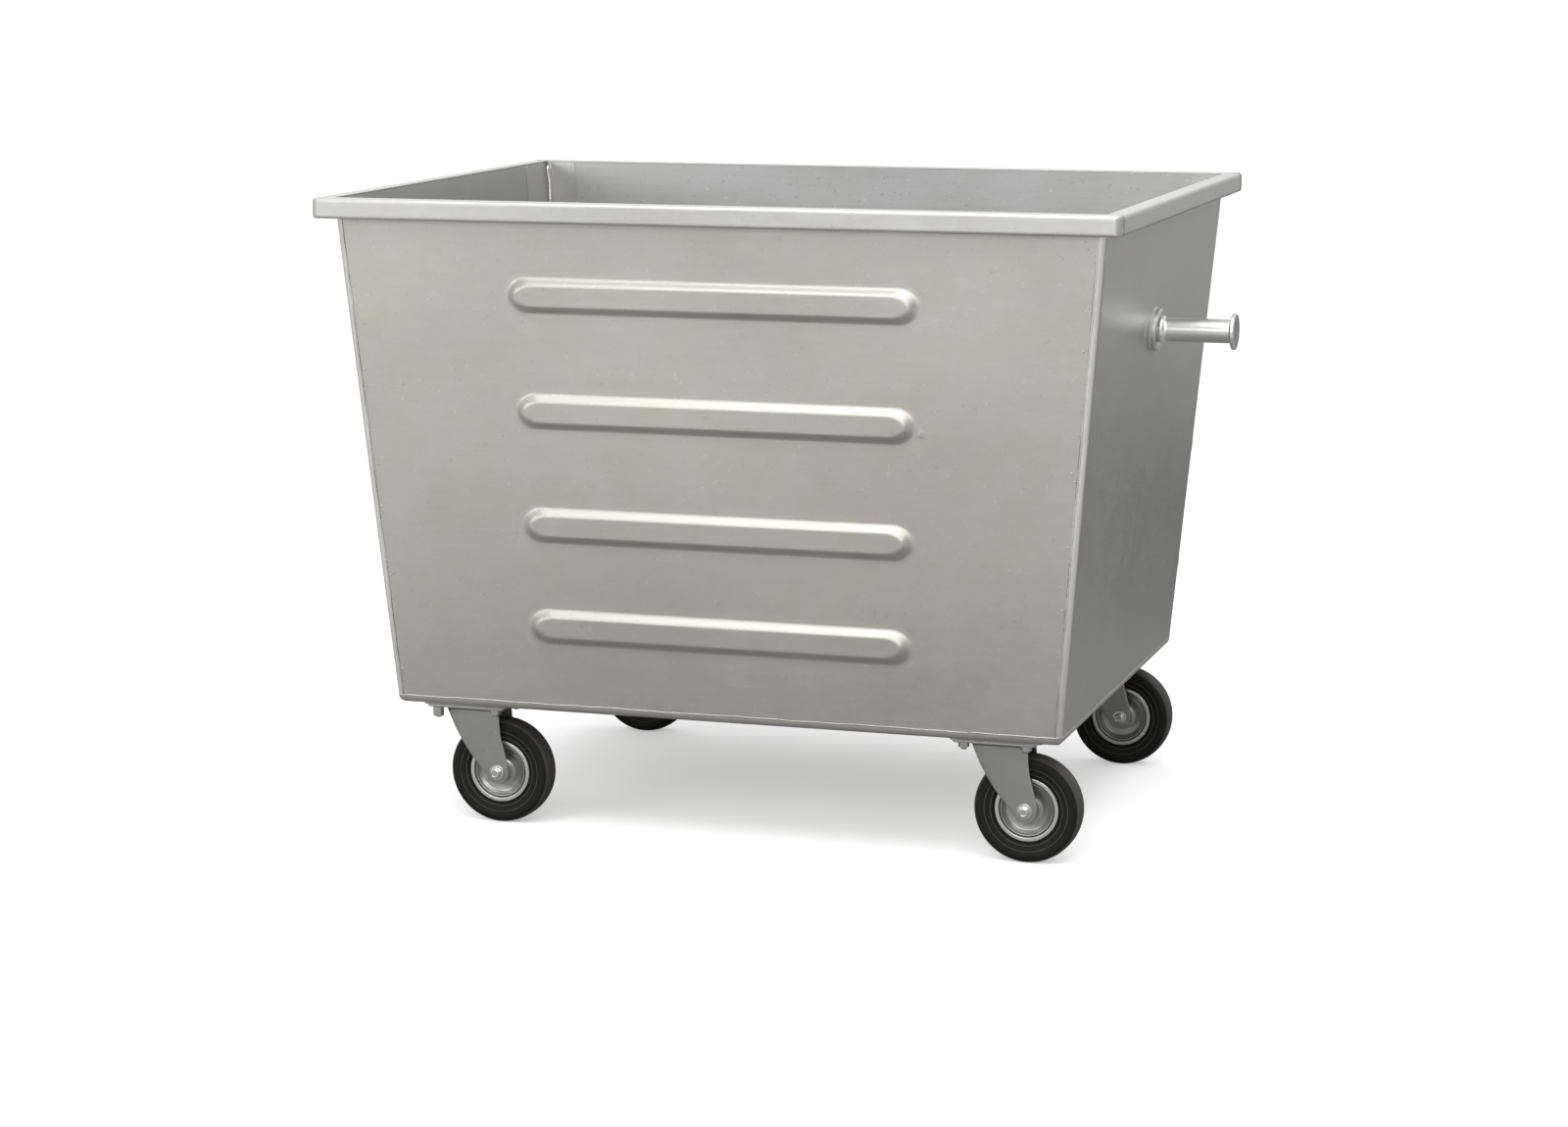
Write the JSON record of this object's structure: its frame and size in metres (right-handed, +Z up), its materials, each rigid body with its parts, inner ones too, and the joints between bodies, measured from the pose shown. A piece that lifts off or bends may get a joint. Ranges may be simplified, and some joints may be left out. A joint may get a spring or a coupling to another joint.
{
  "type": "wheeled waste container",
  "caption": "Open-topped galvanised waste container with tapered body, pressed ribs, folded rim, side lifting pins and swivel castors with rubber tyres.",
  "frame": {"origin": "centre of the footprint, on the floor that the tyres stand on", "axes": "+X along the length, through the two lifting pins; +Y from the ribbed front to the rear; +Z up"},
  "size_m": [1.5562, 1.032, 1.076],
  "materials": {
    "wall_zinc": "hot-dip galvanised sheet, dull, mottled, fine marks",
    "rim_zinc": "hot-dip galvanised, brighter, smooth",
    "plated_steel": "bright zinc plated pressed steel",
    "turned_steel": "galvanised turned steel, satin",
    "tyre_rubber": "black solid rubber, matt, moulding rings on the sidewall"
  },
  "bodies": {
    "container": {"front_panel": "wall_zinc", "rear_panel": "wall_zinc", "left_side_panel": "wall_zinc", "right_side_panel": "wall_zinc", "floor_pan": "wall_zinc", "rim_front": "rim_zinc", "rim_rear": "rim_zinc", "rim_left": "rim_zinc", "rim_right": "rim_zinc", "corner_strip_front_left": "wall_zinc", "corner_strip_front_right": "wall_zinc", "corner_strip_rear_left": "wall_zinc", "corner_strip_rear_right": "wall_zinc", "trunnion_pin_left": "turned_steel", "trunnion_flange_left": "plated_steel", "trunnion_backing_left": "wall_zinc", "trunnion_pin_right": "turned_steel", "trunnion_flange_right": "plated_steel", "trunnion_backing_right": "wall_zinc", "castor_pad_front_left": "plated_steel", "castor_plate_front_left": "plated_steel", "ball_race_front_left": "turned_steel", "kingpin_front_left": "turned_steel", "castor_pad_front_right": "plated_steel", "castor_plate_front_right": "plated_steel", "ball_race_front_right": "turned_steel", "kingpin_front_right": "turned_steel", "castor_pad_rear_left": "plated_steel", "castor_plate_rear_left": "plated_steel", "ball_race_rear_left": "turned_steel", "kingpin_rear_left": "turned_steel", "castor_pad_rear_right": "plated_steel", "castor_plate_rear_right": "plated_steel", "ball_race_rear_right": "turned_steel", "kingpin_rear_right": "turned_steel"},
    "swivel_front_left": {"fork_front_left": "plated_steel", "axle_bolt_front_left": "turned_steel", "axle_nut_front_left": "turned_steel"},
    "wheel_front_left": {"axle_sleeve_front_left": "turned_steel", "wheel_rim_front_left": "plated_steel", "tyre_front_left": "tyre_rubber"},
    "swivel_front_right": {"fork_front_right": "plated_steel", "axle_bolt_front_right": "turned_steel", "axle_nut_front_right": "turned_steel"},
    "wheel_front_right": {"axle_sleeve_front_right": "turned_steel", "wheel_rim_front_right": "plated_steel", "tyre_front_right": "tyre_rubber"},
    "swivel_rear_left": {"fork_rear_left": "plated_steel", "axle_bolt_rear_left": "turned_steel", "axle_nut_rear_left": "turned_steel"},
    "wheel_rear_left": {"axle_sleeve_rear_left": "turned_steel", "wheel_rim_rear_left": "plated_steel", "tyre_rear_left": "tyre_rubber"},
    "swivel_rear_right": {"fork_rear_right": "plated_steel", "axle_bolt_rear_right": "turned_steel", "axle_nut_rear_right": "turned_steel"},
    "wheel_rear_right": {"axle_sleeve_rear_right": "turned_steel", "wheel_rim_rear_right": "plated_steel", "tyre_rear_right": "tyre_rubber"}
  },
  "joints": [
    {"name": "castor_swivel_front_left", "type": "hinge", "parent": "container", "child": "swivel_front_left", "pos_m": [-0.4645, -0.3648, 0.2005], "axis": [0, 0, 1], "continuous": true},
    {"name": "wheel_spin_front_left", "type": "hinge", "parent": "swivel_front_left", "child": "wheel_front_left", "pos_m": [-0.4175, -0.3648, 0.09], "axis": [0, 1, 0], "continuous": true},
    {"name": "castor_swivel_front_right", "type": "hinge", "parent": "container", "child": "swivel_front_right", "pos_m": [0.4645, -0.3648, 0.2005], "axis": [0, 0, 1], "continuous": true},
    {"name": "wheel_spin_front_right", "type": "hinge", "parent": "swivel_front_right", "child": "wheel_front_right", "pos_m": [0.5115, -0.3648, 0.09], "axis": [0, 1, 0], "continuous": true},
    {"name": "castor_swivel_rear_left", "type": "hinge", "parent": "container", "child": "swivel_rear_left", "pos_m": [-0.4645, 0.3648, 0.2005], "axis": [0, 0, 1], "continuous": true},
    {"name": "wheel_spin_rear_left", "type": "hinge", "parent": "swivel_rear_left", "child": "wheel_rear_left", "pos_m": [-0.4175, 0.3648, 0.09], "axis": [0, 1, 0], "continuous": true},
    {"name": "castor_swivel_rear_right", "type": "hinge", "parent": "container", "child": "swivel_rear_right", "pos_m": [0.4645, 0.3648, 0.2005], "axis": [0, 0, 1], "continuous": true},
    {"name": "wheel_spin_rear_right", "type": "hinge", "parent": "swivel_rear_right", "child": "wheel_rear_right", "pos_m": [0.5115, 0.3648, 0.09], "axis": [0, 1, 0], "continuous": true}
  ]
}
